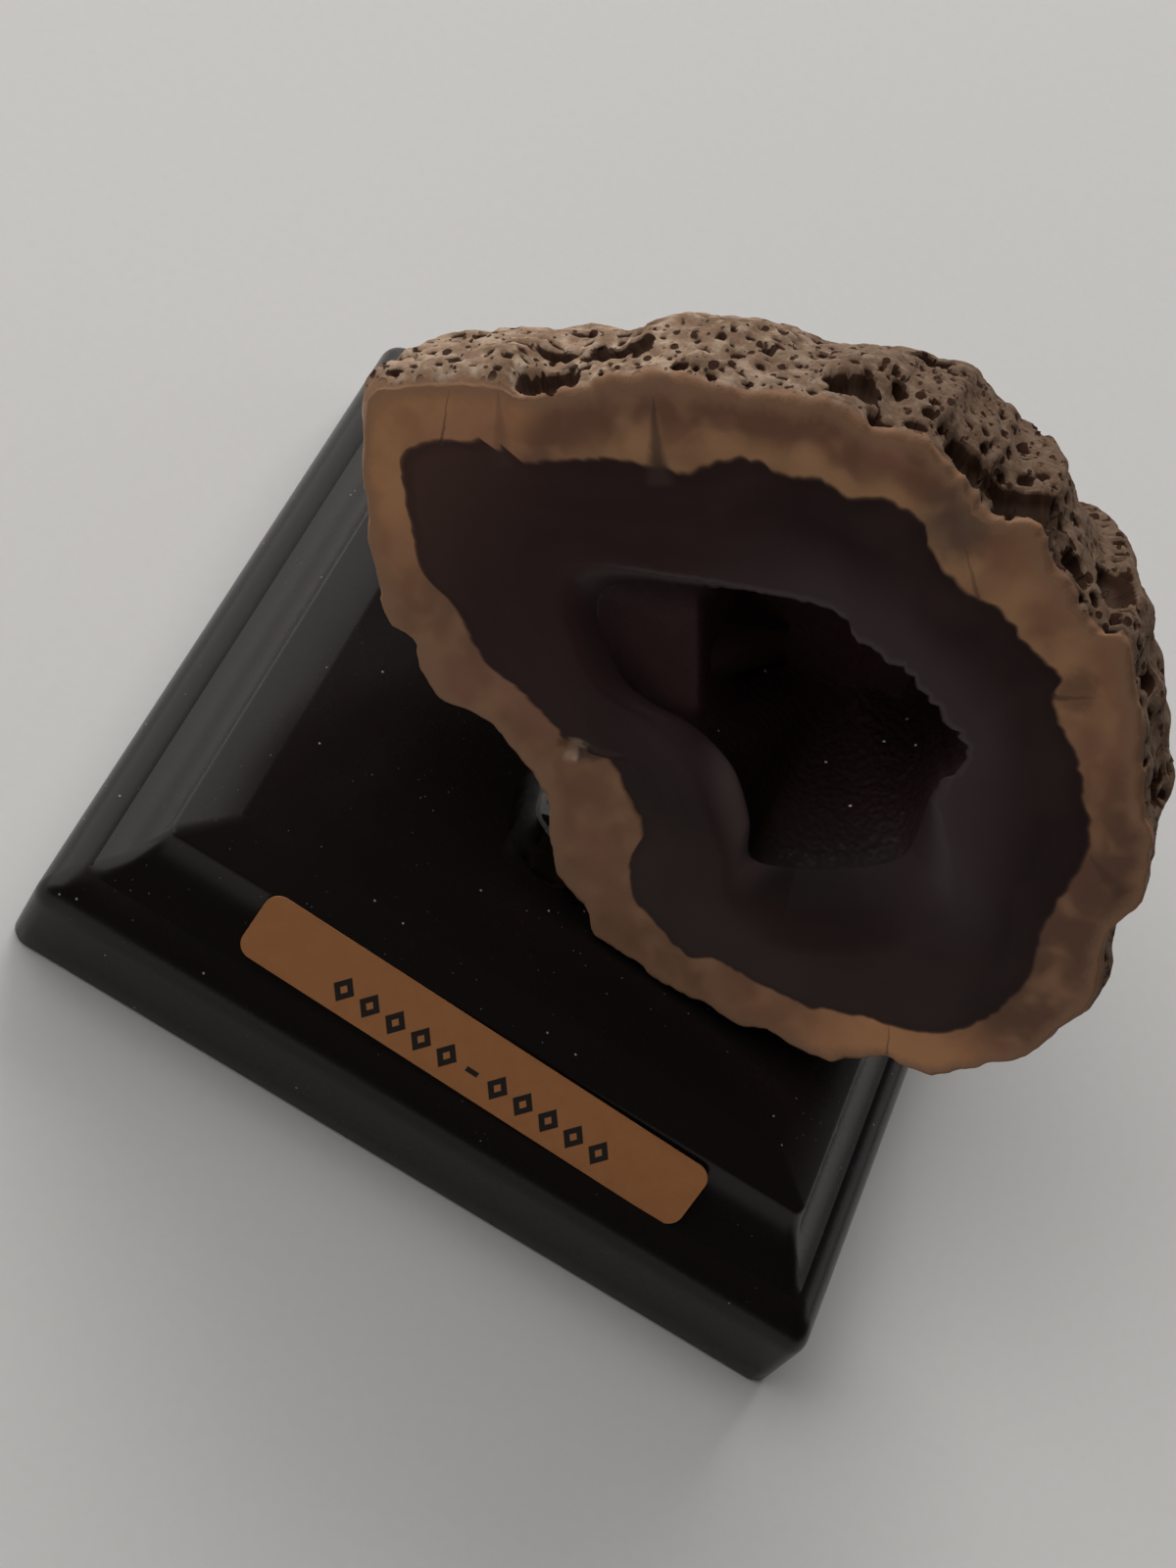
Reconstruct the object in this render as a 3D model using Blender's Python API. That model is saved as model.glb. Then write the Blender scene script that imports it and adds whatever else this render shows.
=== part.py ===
"""Half of an agate geode, cut and polished, standing on a moulded black stand with a plain label.

Units are metres and +Z is up. The origin is the middle of the stand's underside, and the label
faces -Y. The stone's cut face leans back: U runs along it, V runs up it and depth runs into the
stone, away from the viewer.
"""
import math

import bmesh
import bpy
import numpy as np
from mathutils import Vector, noise

MM = 0.001
GAP = 0.3 * MM

# Stand, a square block whose edges are moulded in steps
STAND_SIDE = 76 * MM
FOOT_CHAMFER = 0.5 * MM
SIDE_HEIGHT = 6.9 * MM
MOULDING_INSET = 3.0 * MM
MOULDING_HEIGHT = 10.3 * MM
SLOPE_INSET = 7.0 * MM
SLOPE_HEIGHT = 15.9 * MM
PANEL_INSET = 11.3 * MM
STAND_HEIGHT = 16.3 * MM
CORNER_RADIUS = 2.6 * MM
PANEL_CORNER_RADIUS = 0.7 * MM

# Label, a thin strip stuck a little askew on the front slope
LABEL_LENGTH = 44 * MM
LABEL_HEIGHT = 6.2 * MM
LABEL_THICKNESS = 0.3 * MM
LABEL_CORNER = 1.4 * MM
LABEL_SHIFT = 0.6 * MM
LABEL_TURN = math.radians(-1.6)

# Stone, placed by the lowest point of its cut face
FACE_FOOT = Vector((9.9 * MM, -18.6 * MM, STAND_HEIGHT + GAP))
FACE_LEAN = math.radians(25)
FACE_TURN = math.radians(-4)
FACE_CENTRE = (-6 * MM, 25 * MM)
STONE_DEPTH = 36 * MM
STONE_FULLNESS = 1.8
STONE_DRIFT = (2 * MM, 11 * MM)
STONE_LUMPS = 1.3 * MM
LUMP_SIZE = 11 * MM
SEGMENTS = 84
STONE_ROWS = 25

# Outline of the cut face, U and V in millimetres, clockwise from its upper left corner
FACE_OUTLINE = (
    (-47, 29), (-42, 33.5), (-37, 36), (-32, 42), (-25, 46.5), (-17, 50.5), (-9, 53), (-1, 51), (3, 52.5),
    (11.5, 48.2), (14.5, 49), (22, 41), (26.5, 36.5), (28.8, 31), (28, 27.5), (31, 21), (30, 15), (25, 8),
    (20.5, 6.6), (17.5, 3.4), (9, 1), (3, 0), (-5, 0.2), (-11.5, 3), (-15.5, 8), (-22, 10.7), (-28, 10),
    (-33, 13.3), (-37, 14), (-41.5, 20), (-45, 25),
)

# Hollow: its rim in the cut face, with a tongue of agate at its lower left
HOLLOW_CENTRE = (0 * MM, 26 * MM)
HOLLOW_DEPTH = 18 * MM
SHELF_DEPTH = 7 * MM
SHELF_LINE = ((-15.5 * MM, 32.3 * MM), (-7.8 * MM, 21.0 * MM))
SHELF_BLEND = 8 * MM
HOLLOW_RIM = (
    (-23, 26.2), (-19.5, 29.6), (-15.5, 32), (-12, 34.2), (-6, 36.7), (-3, 35.8), (1, 36), (6.5, 34.6),
    (9.7, 33), (9.4, 29), (10.8, 24.5), (11, 21.8), (8.6, 18.8), (4.7, 15.9), (1.2, 14.9), (-0.4, 16.4),
    (-2.2, 18.4), (-5.2, 20.3), (-8, 21), (-12, 20.6), (-16, 21), (-20, 23), (-22, 24.6),
)
CRUST_THICKNESS = 0.9 * MM
CRUST_GAP = 0.6 * MM
CRYSTAL_HEIGHT = 0.6 * MM
HOLLOW_STEPS = (0.22, 0.42, 0.6, 0.75, 0.87, 0.95)

# Broad rises and dips of the outer skin: angle round the face and back over the skin, reach, all in
# degrees, then height in millimetres
SKIN_LUMPS = (
    (171, 9, 15, 1.5), (140, 24, 16, 0.9), (118, 12, 9, -0.7), (96, 30, 18, 0.5), (58, 26, 12, -1.4),
    (72, 58, 22, 1.3), (28, 30, 16, 0.3), (0, 44, 14, -1.2), (150, 60, 22, -1.8), (-30, 30, 16, 0.8),
    (205, 40, 18, 1.4), (188, 24, 10, -1.0), (125, 78, 16, 1.6), (-60, 62, 20, 1.5), (15, 68, 14, -1.3),
)

# Large pits of the outer skin: angle round the face and back over the skin in degrees, then width,
# height and depth in millimetres
LARGE_PITS = (
    (152, 17, 4.4, 2.2, 2.0), (162, 18, 3.2, 1.7, 1.5), (160, 8, 2.8, 1.8, 1.5), (112, 9, 2.9, 2.6, 1.9),
    (88, 10, 3.2, 2.4, 1.9), (75, 12, 4.8, 4.6, 2.6), (60, 9, 2.2, 2.6, 1.7), (48, 11, 2.3, 4.8, 1.9),
    (12, 20, 2.6, 3.2, 1.7), (104, 38, 4.0, 3.0, 2.0), (70, 45, 3.4, 3.8, 2.0), (140, 44, 3.6, 3.0, 2.0),
    (24, 42, 4.2, 3.4, 2.2), (45, 64, 3.6, 3.2, 2.0), (128, 66, 4.4, 3.2, 2.2), (-25, 50, 3.4, 3.0, 1.8),
    (188, 55, 3.4, 3.2, 1.8), (205, 28, 3.0, 2.4, 1.6),
)

# Drop of clear glue that holds the stone
GLUE_CENTRE = (-1.2 * MM, -9.0 * MM)
GLUE_RADIUS = 6.4 * MM
GLUE_HEIGHT = 8.0 * MM
GLUE_SEGMENTS = 32

FACE_U = Vector((math.cos(FACE_TURN), math.sin(FACE_TURN), 0))
FACE_V = Vector((
    -math.sin(FACE_TURN) * math.sin(FACE_LEAN), math.cos(FACE_TURN) * math.sin(FACE_LEAN), math.cos(FACE_LEAN),
))
FACE_NORMAL = FACE_U.cross(FACE_V)


def clear_scene():
    for item in list(bpy.data.objects):
        bpy.data.objects.remove(item, do_unlink=True)


def make_collection(name):
    collection = bpy.data.collections.new(name)
    bpy.context.scene.collection.children.link(collection)
    return collection


def make_material(name, colour, roughness, metallic=0.0, transmission=0.0):
    material = bpy.data.materials.new(name)
    material.use_nodes = True
    shader = material.node_tree.nodes["Principled BSDF"]
    shader.inputs["Base Color"].default_value = (*colour, 1)
    shader.inputs["Roughness"].default_value = roughness
    shader.inputs["Metallic"].default_value = metallic
    shader.inputs["Transmission Weight"].default_value = transmission
    material.diffuse_color = (*colour, 1)
    return material


def loft(rings):
    """Joins closed rings of equal length, each with one point for a pole or many for a ring."""
    mesh = bmesh.new()
    rows = [[mesh.verts.new(point) for point in ring] for ring in rings]
    for lower, upper in zip(rows, rows[1:]):
        count = max(len(lower), len(upper))
        for i in range(count):
            j = (i + 1) % count
            if len(lower) == 1:
                mesh.faces.new((lower[0], upper[j], upper[i]))
            elif len(upper) == 1:
                mesh.faces.new((lower[i], lower[j], upper[0]))
            else:
                mesh.faces.new((lower[i], lower[j], upper[j], upper[i]))
    for end in (rows[0], rows[-1]):
        if len(end) > 1:
            mesh.faces.new(end)
    bmesh.ops.recalc_face_normals(mesh, faces=mesh.faces)
    return mesh


def add_object(name, mesh, collection, material, sharp_angle=None):
    data = bpy.data.meshes.new(name)
    mesh.to_mesh(data)
    mesh.free()
    if sharp_angle is not None:
        data.shade_smooth()
        data.set_sharp_from_angle(angle=math.radians(sharp_angle))
    item = bpy.data.objects.new(name, data)
    collection.objects.link(item)
    if material:
        data.materials.append(material)
    return item


def rounded_rectangle(half_x, half_y, radius, steps=5):
    """Corner arcs of a rectangle, counterclockwise, as pairs about its middle."""
    points = []
    for corner in range(4):
        middle = math.radians(45 + 90 * corner)
        centre_x = math.copysign(half_x - radius, math.cos(middle))
        centre_y = math.copysign(half_y - radius, math.sin(middle))
        for step in range(steps + 1):
            angle = math.radians(90 * corner + 90 * step / steps)
            points.append((centre_x + radius * math.cos(angle), centre_y + radius * math.sin(angle)))
    return points


def stand_profile():
    """Inset and height of each step of the stand's edge, from the underside to the top panel."""
    steps = [(FOOT_CHAMFER, 0), (0, FOOT_CHAMFER)]
    for step in range(7):
        angle = math.radians(90 * step / 6)
        inset = MOULDING_INSET * (1 - math.cos(angle))
        height = SIDE_HEIGHT + (MOULDING_HEIGHT - SIDE_HEIGHT) * math.sin(angle)
        steps.append((inset, height))
    return steps + [(SLOPE_INSET, SLOPE_HEIGHT), (PANEL_INSET, STAND_HEIGHT)]


def make_stand(collection):
    rings = []
    for inset, height in stand_profile():
        half = STAND_SIDE / 2 - inset
        share = min(inset / PANEL_INSET, 1)
        radius = CORNER_RADIUS + (PANEL_CORNER_RADIUS - CORNER_RADIUS) * share
        rings.append([(x, y, height) for x, y in rounded_rectangle(half, half, radius)])
    lacquer = make_material("black_lacquer", (0.012, 0.011, 0.012), 0.18)
    return add_object("stand", loft(rings), collection, lacquer, 20)


def make_label(collection):
    """A thin rounded plate on the middle of the front slope, a gap above it."""
    run = SLOPE_INSET - MOULDING_INSET
    rise = SLOPE_HEIGHT - MOULDING_HEIGHT
    up_slope = Vector((0, run, rise)).normalized()
    outward = Vector((1, 0, 0)).cross(up_slope)
    middle = Vector((LABEL_SHIFT, -STAND_SIDE / 2 + MOULDING_INSET + run / 2, MOULDING_HEIGHT + rise / 2))
    along = math.cos(LABEL_TURN) * Vector((1, 0, 0)) + math.sin(LABEL_TURN) * up_slope
    across = outward.cross(along)
    outline = rounded_rectangle(LABEL_LENGTH / 2, LABEL_HEIGHT / 2, LABEL_CORNER)
    rings = []
    for height in (GAP, GAP + LABEL_THICKNESS):
        rings.append([middle + x * along + y * across + height * outward for x, y in outline])
    bronze = make_material("bronze_label", (0.36, 0.19, 0.06), 0.45, metallic=0.4)
    return add_object("label", loft(rings), collection, bronze)


def smooth_outline(points, per_span=8):
    """A closed Catmull-Rom curve through hand-set points, in metres."""
    knots = np.array(points) * MM
    before, after, beyond = (np.roll(knots, shift, axis=0) for shift in (1, -1, -2))
    spans = []
    for share in np.arange(per_span) / per_span:
        spans.append(0.5 * (
            2 * knots + (after - before) * share
            + (2 * before - 5 * knots + 4 * after - beyond) * share ** 2
            + (3 * knots - before - 3 * after + beyond) * share ** 3
        ))
    return np.stack(spans, axis=1).reshape(-1, 2)


def radii_about(points, centre, angles):
    """Distance from a centre to an outline, in each direction."""
    offsets = smooth_outline(points) - np.array(centre)
    bearings = np.arctan2(offsets[:, 1], offsets[:, 0])
    order = np.argsort(bearings)
    return np.interp(angles, bearings[order], np.hypot(*offsets.T)[order], period=2 * math.pi)


def from_face(u, v, depth):
    """World position of a point given in the cut face's own directions."""
    return FACE_FOOT + FACE_U * float(u) + FACE_V * float(v) - FACE_NORMAL * float(depth)


def lump_height(bearing, lift):
    """Height of the broad rises and dips at a place on the skin, nothing at the cut face."""
    height = 0
    for lump_bearing, lump_lift, reach, rise in SKIN_LUMPS:
        turn = math.degrees(bearing) - lump_bearing
        around = math.radians((turn + 180) % 360 - 180) * math.cos(lift)
        back = lift - math.radians(lump_lift)
        height += rise * MM * math.exp(-(around ** 2 + back ** 2) / math.radians(reach) ** 2)
    return height * min(lift / math.radians(3), 1)


def skin_point(bearing, radius, lift):
    """A point of the outer skin: lift is 0 at the cut face and a quarter turn at the back."""
    radius += lump_height(bearing, lift)
    depth_share = math.sin(lift) ** (2 / STONE_FULLNESS)
    u = FACE_CENTRE[0] + radius * math.cos(bearing) * math.cos(lift) + STONE_DRIFT[0] * depth_share
    v = FACE_CENTRE[1] + radius * math.sin(bearing) * math.cos(lift) + STONE_DRIFT[1] * depth_share
    return from_face(u, v, STONE_DEPTH * depth_share)


def hollow_depth(u, v, share, bearing):
    """Depth of the hollow: steep under the upper rim, gentle at its foot, shallow on the left shelf."""
    steepness = 4.4 + 2.2 * math.sin(bearing)
    bowl = 1 - share ** steepness
    start, end = (Vector(point) for point in SHELF_LINE)
    line = (end - start).normalized()
    side = (Vector((u, v)) - start).cross(line)
    blend = min(max(0.5 - side / SHELF_BLEND, 0), 1)
    floor = SHELF_DEPTH + (HOLLOW_DEPTH - SHELF_DEPTH) * blend * blend * (3 - 2 * blend)
    return floor * bowl


def hollow_rows():
    """Rows of points over the hollow's wall, from its deepest point to its rim in the cut face."""
    bearings = np.arange(SEGMENTS) * 2 * math.pi / SEGMENTS
    radii = radii_about(HOLLOW_RIM, HOLLOW_CENTRE, bearings)
    centre_u, centre_v = HOLLOW_CENTRE
    rows = [[from_face(centre_u, centre_v, hollow_depth(centre_u, centre_v, 0, 0))]]
    for share in HOLLOW_STEPS + (1.0,):
        row = []
        for bearing, radius in zip(bearings, radii):
            u = centre_u + radius * share * math.cos(bearing)
            v = centre_v + radius * share * math.sin(bearing)
            row.append(from_face(u, v, hollow_depth(u, v, share, bearing)))
        rows.append(row)
    return rows


def wall_normal(rows, row, i):
    """Direction into the stone at a point of the hollow's wall, kept in the cut face at its rim."""
    if row == 0:
        return -FACE_NORMAL
    below = rows[row - 1][i if row > 1 else 0]
    above = rows[min(row + 1, len(rows) - 1)][i]
    around = rows[row][(i + 1) % SEGMENTS] - rows[row][i - 1]
    if row == len(rows) - 1:
        return around.cross(FACE_NORMAL).normalized()
    return (above - below).cross(around).normalized() * -1


def offset_rows(rows, distances):
    """Rows moved into the stone along the wall's normals, by a distance for each point."""
    moved = []
    for row, points in enumerate(rows):
        moved.append([
            point + wall_normal(rows, row, i) * distances(row, i) for i, point in enumerate(points)
        ])
    return moved


def crystal_tips(row, i):
    """Scattered points of the crust's inner side stand up as crystals, except on its rim."""
    if row == len(HOLLOW_STEPS) + 1:
        return 0
    spread = row / len(HOLLOW_STEPS)
    return -CRYSTAL_HEIGHT * spread * (0.5 + noise.noise((row * 5.3, i * 3.7, 0.5)))


def lumpy(mesh, first_row_height):
    """Pushes the outer skin in and out in broad lumps, keeping the rim of the cut face."""
    mesh.normal_update()
    for vertex in mesh.verts:
        depth = (FACE_FOOT - vertex.co).dot(FACE_NORMAL)
        if vertex.index < first_row_height or depth < 0.1 * MM:
            continue
        fade = min(depth / (4 * MM), 1)
        broad = noise.noise(vertex.co / LUMP_SIZE)
        fine = noise.noise(vertex.co / (LUMP_SIZE / 3))
        vertex.co += vertex.normal * fade * STONE_LUMPS * (broad + 0.45 * fine)
    for vertex in mesh.verts:
        vertex.co.z = max(vertex.co.z, STAND_HEIGHT + GAP)


def pit_cutter(collection, radii_at):
    """Squat uneven balls, one for each large pit, sunk into the outer skin."""
    mesh = bmesh.new()
    for index, (bearing, lift, width, height, depth) in enumerate(LARGE_PITS):
        bearing, lift = math.radians(bearing), math.radians(lift)
        step = math.radians(1)
        radius = radii_at(bearing)
        place = skin_point(bearing, radius, lift)
        around = (skin_point(bearing + step, radii_at(bearing + step), lift) - place).normalized()
        back = (skin_point(bearing, radius, lift + step) - place).normalized()
        out = around.cross(back).normalized()
        ball = bmesh.ops.create_icosphere(mesh, subdivisions=1, radius=1)["verts"]
        for vertex in ball:
            uneven = 1 + 0.22 * noise.noise(vertex.co * 1.7 + Vector((index, 0, 0)))
            local = vertex.co * uneven * MM
            vertex.co = place + local.x * width / 2 * around + local.y * height / 2 * back + local.z * depth * out
    cutter = add_object("pit_cutter", mesh, collection, None)
    cutter.hide_render = True
    cutter.display_type = "WIRE"
    return cutter


def cut(item, cutter):
    modifier = item.modifiers.new("cut", "BOOLEAN")
    modifier.operation = "DIFFERENCE"
    modifier.solver = "EXACT"
    modifier.object = cutter
    return modifier


def make_geode(collection, cutters):
    """The stone: hollow, flat cut face and lumpy skin in one closed surface, then its large pits."""
    bearings = np.arange(SEGMENTS) * 2 * math.pi / SEGMENTS
    face_radii = radii_about(FACE_OUTLINE, FACE_CENTRE, bearings)
    rings = offset_rows(hollow_rows(), lambda row, i: CRUST_THICKNESS + CRUST_GAP)
    hollow_count = sum(len(ring) for ring in rings)
    for row in range(STONE_ROWS):
        lift = math.radians(90) * row / STONE_ROWS
        rings.append([skin_point(b, r, lift) for b, r in zip(bearings, face_radii)])
    rings.append([skin_point(0, 0, math.radians(90))])
    mesh = loft(rings)
    mesh.verts.ensure_lookup_table()
    lumpy(mesh, hollow_count)
    stone = make_material("agate_stone", (0.30, 0.22, 0.15), 0.5)
    geode = add_object("geode", mesh, collection, stone, 35)

    def radii_at(bearing):
        return float(radii_about(FACE_OUTLINE, FACE_CENTRE, np.array([bearing]))[0])

    cut(geode, pit_cutter(cutters, radii_at))
    return geode


def make_crystal_lining(collection):
    """A thin crust of fine crystals over the hollow's wall, open at the mouth."""
    inner = offset_rows(hollow_rows(), crystal_tips)
    outer = offset_rows(hollow_rows(), lambda row, i: CRUST_THICKNESS)
    druse = make_material("dark_druse", (0.03, 0.018, 0.02), 0.3)
    return add_object("crystal_lining", loft(inner + outer[::-1]), collection, druse)


def make_glue_drop(collection, cutters, geode):
    """A squat clear drop on the stand, hollowed on top where the stone sits in it."""
    rings = []
    for step in range(9):
        angle = math.radians(90 * step / 8)
        radius = GLUE_RADIUS * math.cos(angle) ** 0.5
        height = STAND_HEIGHT + GAP + GLUE_HEIGHT * math.sin(angle)
        count = GLUE_SEGMENTS if step < 8 else 1
        turns = [2 * math.pi * i / count for i in range(count)]
        rings.append([
            (GLUE_CENTRE[0] + radius * math.cos(turn), GLUE_CENTRE[1] + radius * math.sin(turn), height)
            for turn in turns
        ])
    resin = make_material("clear_glue", (0.75, 0.75, 0.74), 0.06, transmission=1.0)
    drop = add_object("glue_drop", loft(rings), collection, resin, 40)
    seat = geode.copy()
    seat.data = geode.data.copy()
    seat.name = "glue_seat_cutter"
    seat.modifiers.clear()
    cutters.objects.link(seat)
    swell = seat.modifiers.new("swell", "DISPLACE")
    swell.strength = 2 * GAP
    swell.mid_level = 0
    seat.hide_render = True
    seat.display_type = "WIRE"
    cut(drop, seat)
    return drop


def main():
    clear_scene()
    parts = make_collection("agate_geode")
    cutters = make_collection("cutters")
    make_stand(parts)
    make_label(parts)
    geode = make_geode(parts, cutters)
    make_crystal_lining(parts)
    make_glue_drop(parts, cutters, geode)


main()
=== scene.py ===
"""Looks of the agate geode: a polished half stone with a dark druse, on a lacquered stand with a label."""
import math

import bmesh
import bpy
import numpy as np
from mathutils import Matrix, Vector, kdtree, noise


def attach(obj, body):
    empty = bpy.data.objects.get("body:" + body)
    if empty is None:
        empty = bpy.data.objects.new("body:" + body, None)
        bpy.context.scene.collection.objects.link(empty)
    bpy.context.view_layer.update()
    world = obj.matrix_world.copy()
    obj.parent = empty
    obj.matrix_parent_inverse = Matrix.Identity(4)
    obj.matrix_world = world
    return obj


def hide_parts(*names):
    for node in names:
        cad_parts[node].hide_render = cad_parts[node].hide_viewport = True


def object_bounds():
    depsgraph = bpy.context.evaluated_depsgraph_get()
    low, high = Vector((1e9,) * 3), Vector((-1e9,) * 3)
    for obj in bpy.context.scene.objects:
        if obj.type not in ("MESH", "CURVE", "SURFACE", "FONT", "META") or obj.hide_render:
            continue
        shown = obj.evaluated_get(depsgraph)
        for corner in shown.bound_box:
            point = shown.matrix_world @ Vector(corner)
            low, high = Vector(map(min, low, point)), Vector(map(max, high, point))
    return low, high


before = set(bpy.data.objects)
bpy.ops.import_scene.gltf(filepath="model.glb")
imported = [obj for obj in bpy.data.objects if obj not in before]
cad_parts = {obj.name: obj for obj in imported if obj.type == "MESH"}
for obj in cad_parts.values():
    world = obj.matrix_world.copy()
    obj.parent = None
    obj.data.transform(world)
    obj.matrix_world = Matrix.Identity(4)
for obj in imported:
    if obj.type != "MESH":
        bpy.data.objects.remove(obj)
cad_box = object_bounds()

MM = 0.001

# Stand, in millimetres
STAND_SIDE = 76.0
FOOT_CHAMFER = 0.5
SIDE_HEIGHT = 6.9
MOULDING_INSET = 3.0
MOULDING_HEIGHT = 10.3
SLOPE_INSET = 7.0
SLOPE_HEIGHT = 15.9
PANEL_INSET = 11.3
STAND_HEIGHT = 16.3
CORNER_RADIUS = 1.6
PANEL_CORNER_RADIUS = 0.7
SLOPE_HOLLOW = 0.7

# Label, stuck a little askew on the front slope
LABEL_LENGTH = 44.0
LABEL_HEIGHT = 6.2
LABEL_THICKNESS = 0.14
LABEL_CORNER = 1.4
LABEL_SHIFT = 0.6
LABEL_TURN = math.radians(-1.6)
LABEL_GAP = 0.04

# Marks on the label: lozenges with hollow middles on both sides of a dash
MARKS_EACH_SIDE = 5
MARK_PITCH = 2.55
MARK_HALF_WIDTH = 1.02
MARK_HALF_HEIGHT = 1.28
MARK_HOLLOW = 0.36
MARK_DROP = -0.9
MARK_SHIFT = 0.2

# Stone, placed by the lowest point of its cut face
FACE_FOOT = np.array((9.9, -18.6, STAND_HEIGHT + 0.3))
FACE_LEAN = math.radians(25)
FACE_TURN = math.radians(-4)
FACE_CENTRE = np.array((-6.0, 25.0))
STONE_DEPTH = 36.0
STONE_FULLNESS = 1.8
STONE_DRIFT = (2.0, 11.0)
STONE_LUMPS = 1.3
LUMP_SIZE = 11.0
REST_HEIGHT = STAND_HEIGHT + 0.05
# Where the materials are read at the stone's hidden and its back point, along, up and behind the cut face
HIDDEN_PLACE = (0, 26, 18)
BACK_PLACE = (2, 36, 36)

# Outlines in the cut face's own directions, in millimetres, clockwise from the upper left
FACE_OUTLINE = (
    (-47, 29), (-45.3, 30.9), (-41.9, 33.7), (-38.6, 35.8), (-36.8, 36.2), (-33.8, 39.6), (-32, 42.3),
    (-27.2, 45.8), (-23, 47.2), (-20.5, 48.8), (-17.6, 50.3), (-15.5, 51), (-12.3, 51.6), (-9.1, 52.9),
    (-7.1, 52.3), (-2.8, 52), (-0.6, 51.2), (2.5, 52.4), (6.9, 50.2), (11.5, 48.3), (13.7, 49),
    (17.7, 45.6), (21.7, 41.1), (24.3, 37.8), (26, 36.6), (28.6, 31.6), (28.1, 27.4), (30, 24),
    (31, 20.9), (30.3, 17.8), (30.1, 15), (27.6, 11), (25.3, 8.1), (22.4, 6.8), (20.3, 6.6), (17.5, 3.5),
    (14.2, 2.5), (11, 2.1), (9, 1), (5.9, 1.1), (2.9, 0.1), (-1.3, 0.3), (-5, 0.2), (-8, 2), (-11.4, 3.2),
    (-13.9, 5.8), (-15.6, 8.2), (-19.1, 9.9), (-22.4, 10.7), (-25.4, 11), (-28, 10.2), (-30.5, 11.2),
    (-32.8, 13.3), (-36, 13.9), (-41.5, 20), (-45, 25),
)
AGATE_OUTLINE = (
    (-41.3, 25.1), (-41.8, 27), (-40.4, 29), (-38, 30.7), (-36.6, 31.9), (-35.2, 32), (-34.2, 31.2),
    (-30.5, 34.4), (-27.3, 36.8), (-23.6, 38.4), (-22.2, 39.2), (-20.8, 41.6), (-18.5, 43.3), (-16, 43.7),
    (-13.5, 45.2), (-11, 45.3), (-8.5, 46.9), (-5, 47.2), (-3, 45.6), (1, 44.5), (4, 45), (7.5, 43.9),
    (11.4, 43.4), (12.3, 41), (16.3, 38.8), (19.5, 35.9), (22.2, 33), (23, 29.5), (23.3, 27), (24, 24),
    (25.6, 20.5), (25.4, 16.3), (24.2, 13), (22, 10.7), (19.5, 9.4), (16.6, 8.5), (12.4, 6.4), (8.2, 5.5),
    (4, 5), (1.4, 3.9), (-1.8, 4.6), (-4.7, 5.4), (-7, 8), (-7.6, 11), (-10, 12.8), (-13.5, 14.6),
    (-16.2, 13.7), (-18.8, 14.3), (-23, 15.2), (-26.5, 15.4), (-29, 16.7), (-31.8, 18.1), (-35.4, 18.9),
    (-38.3, 21.9), (-40.2, 23.8),
)
HOLLOW_CENTRE = np.array((0.0, 26.0))
HOLLOW_DEPTH = 18.0
SHELF_DEPTH = 4.0
SHELF_LINE = ((-15.5, 32.3), (-7.8, 21.0))
SHELF_BLEND = 3.0
HOLLOW_RIM = (
    (-22.2, 26.6), (-20.4, 28.8), (-17.2, 31), (-12, 34.2), (-6, 36.7), (-3, 35.8), (1, 36), (6.5, 34.6),
    (9.7, 33), (9.4, 29), (10.8, 24.5), (11, 21.8), (8.6, 18.6), (4.9, 15.6), (1.2, 14.1), (-1.0, 17),
    (-4.4, 19.8), (-7.9, 20.9), (-10.6, 21), (-13.4, 20.6), (-16.2, 20.8), (-19.2, 22.4), (-21.6, 24.4),
)

# Softening of the hollow's mouth: bearing in degrees, width and drop in millimetres, and its form, from
# rounded at 0 to dished at 1
MOUTH_SLOPE = (
    (-180, 3.2, 1.0, 1), (-160, 3.6, 1.2, 0.9), (-140, 3.4, 1.2, 0.3), (-94, 3.6, 1.3, 0.1),
    (-84, 4.0, 1.5, 0.5), (-66, 7.0, 1.9, 1), (-40, 7.2, 1.9, 1), (-14, 6.0, 1.5, 1), (0, 3.0, 0.9, 0.9),
    (12, 1.0, 0.4, 0.5), (30, 0.4, 0.3, 0), (100, 0.3, 0.25, 0), (150, 0.4, 0.3, 0), (168, 1.4, 0.5, 0.6),
    (180, 3.2, 1.0, 1),
)

# By bearing in degrees: how jagged the hollow's rim is, how gently its wall slopes, and the wear of the
# cut's edge in millimetres
RIM_TEETH = (
    (-180, 0.1), (-155, 0.1), (-140, 0), (8, 0), (28, 1), (108, 1.1), (122, 0.5), (160, 0.4), (180, 0.1),
)
GENTLE_WALL = ((-180, 0), (-105, 0), (-60, 1), (-30, 1), (20, 0), (180, 0))
EDGE_WEAR = ((-180, 0.3), (-30, 0.3), (15, 0.35), (40, 1.0), (140, 1.0), (165, 0.45), (180, 0.3))

# Broad rises and dips of the outer skin: bearing round the face and back over the skin, reach, all in
# degrees, then height in millimetres
SKIN_LUMPS = (
    (171, 9, 15, 1.5), (140, 24, 16, 0.9), (118, 12, 9, -0.7), (96, 30, 18, 0.5), (58, 26, 12, -1.4),
    (72, 58, 22, 1.3), (28, 30, 16, 0.3), (0, 44, 14, -1.2), (150, 60, 22, -1.8), (-30, 30, 16, 0.8),
    (205, 40, 18, 1.4), (188, 24, 10, -1.0), (125, 78, 16, 1.6), (-60, 62, 20, 1.5), (15, 68, 14, -1.3),
    (168, 20, 12, 0.8), (124, 30, 12, -1.1), (66, 28, 14, 0.9), (96, 28, 9, -0.8), (78, 30, 7, -0.9),
    (-8, 12, 12, 0.9),
)

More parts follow.
